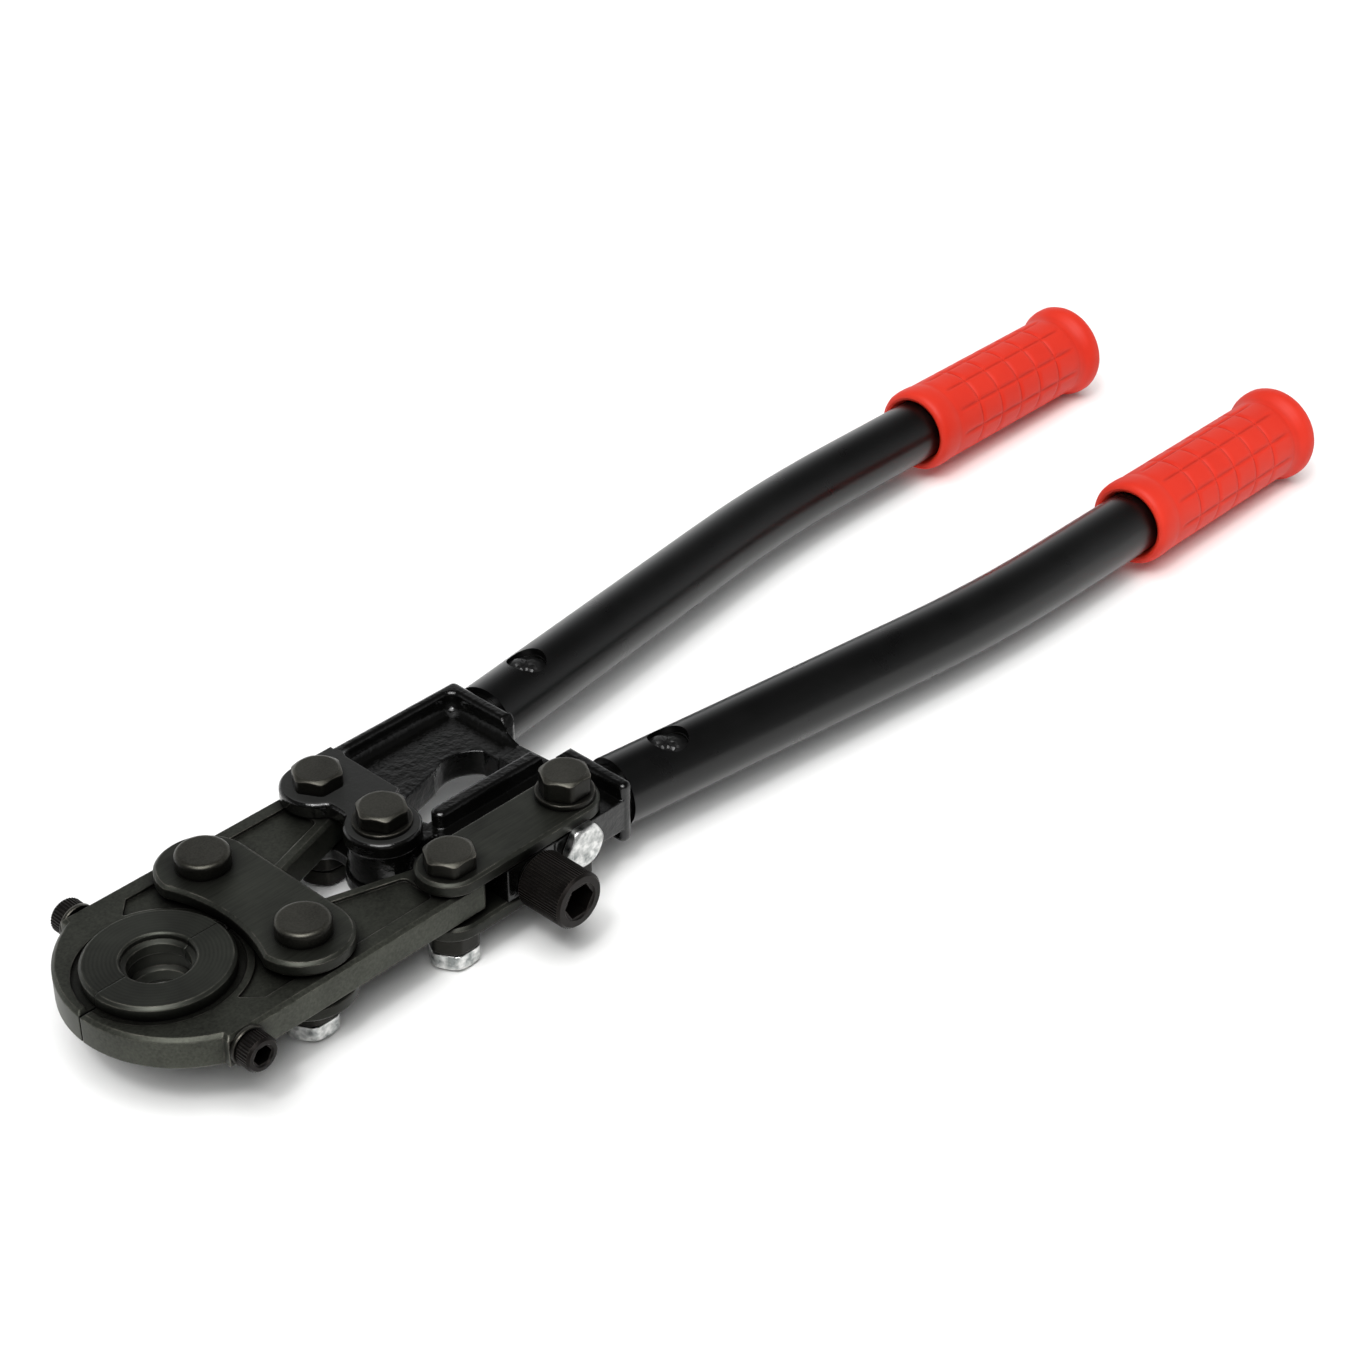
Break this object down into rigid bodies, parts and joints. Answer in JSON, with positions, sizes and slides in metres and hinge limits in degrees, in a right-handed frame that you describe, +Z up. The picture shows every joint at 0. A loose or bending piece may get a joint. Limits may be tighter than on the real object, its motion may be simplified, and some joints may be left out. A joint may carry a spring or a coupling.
{
  "type": "pipe press pliers",
  "caption": "Two-handed lever pliers with long tube handles, toggle-linked jaws and a split round die that presses sleeves onto pipe.",
  "frame": {"origin": "centre of the press bore, half-way through its thickness, jaws closed", "axes": "+X back along the tool to the grips, +Y to the right-hand jaw, +Z up along the press bore"},
  "size_m": [0.567, 0.1466, 0.0471],
  "materials": {
    "black_oxide_steel": "matte black oxide on forged and ground steel",
    "black_paint": "gloss black paint",
    "zinc_plate": "bright zinc plate",
    "red_plastic": "moulded plastic with low raised pads",
    "black_screw_steel": "black oxide on turned steel"
  },
  "bodies": {
    "bridge": {"upper_bridge_plate": "black_oxide_steel", "lower_bridge_plate": "black_oxide_steel", "bridge_pins": "black_oxide_steel", "bridge_nuts": "black_paint", "bridge_lock_nuts": "zinc_plate"},
    "right_jaw": {"right_jaw": "black_oxide_steel", "right_die": "black_oxide_steel", "right_die_screw": "black_screw_steel", "right_die_washer": "black_screw_steel"},
    "left_jaw": {"left_jaw": "black_oxide_steel", "left_die": "black_oxide_steel", "left_die_screw": "black_screw_steel", "left_die_washer": "black_screw_steel"},
    "right_handle": {"right_handle_head": "black_paint", "right_tail_bolt": "black_oxide_steel", "centre_bolt": "black_oxide_steel", "centre_washer": "black_oxide_steel", "right_nuts": "black_paint", "right_lock_nuts": "black_oxide_steel", "right_tube": "black_paint", "right_tube_pin": "black_paint", "right_grip": "red_plastic"},
    "left_handle": {"left_handle_head": "black_paint", "upper_link_plate": "black_oxide_steel", "lower_link_plate": "black_oxide_steel", "left_tail_bolt": "black_oxide_steel", "link_bolt": "black_oxide_steel", "link_washer": "black_oxide_steel", "left_nuts": "black_paint", "left_lock_nuts": "zinc_plate", "adjusting_block": "black_paint", "lock_bolt": "zinc_plate", "left_tube": "black_paint", "left_tube_pin": "black_paint", "left_grip": "red_plastic"},
    "adjusting_screw": {"adjusting_screw": "black_screw_steel"}
  },
  "joints": [
    {"name": "right_jaw_pivot", "type": "hinge", "parent": "bridge", "child": "right_jaw", "pos_m": [0.0374, 0.0243, 0], "axis": [0, 0, 1], "range_deg": [-8.7, 0]},
    {"name": "left_jaw_pivot", "type": "hinge", "parent": "bridge", "child": "left_jaw", "pos_m": [0.0374, -0.0243, 0], "axis": [0, 0, 1], "range_deg": [0, 8.7]},
    {"name": "right_handle_pivot", "type": "hinge", "parent": "right_jaw", "child": "right_handle", "pos_m": [0.0914, 0.0319, 0], "axis": [0, 0, 1], "range_deg": [0, 55]},
    {"name": "left_handle_pivot", "type": "hinge", "parent": "left_jaw", "child": "left_handle", "pos_m": [0.0914, -0.0319, 0], "axis": [0, 0, 1], "range_deg": [-55, 0]},
    {"name": "adjusting_screw_turn", "type": "hinge", "parent": "left_handle", "child": "adjusting_screw", "pos_m": [0.1165, -0.0549, 0], "axis": [0, -1, 0], "range_deg": [-360, 360]}
  ],
  "couplings": [
    {"joint": "left_handle_pivot", "follows": "right_handle_pivot", "ratio": -1},
    {"joint": "right_jaw_pivot", "follows": "right_handle_pivot", "ratio": -0.158},
    {"joint": "left_jaw_pivot", "follows": "right_handle_pivot", "ratio": 0.158}
  ]
}
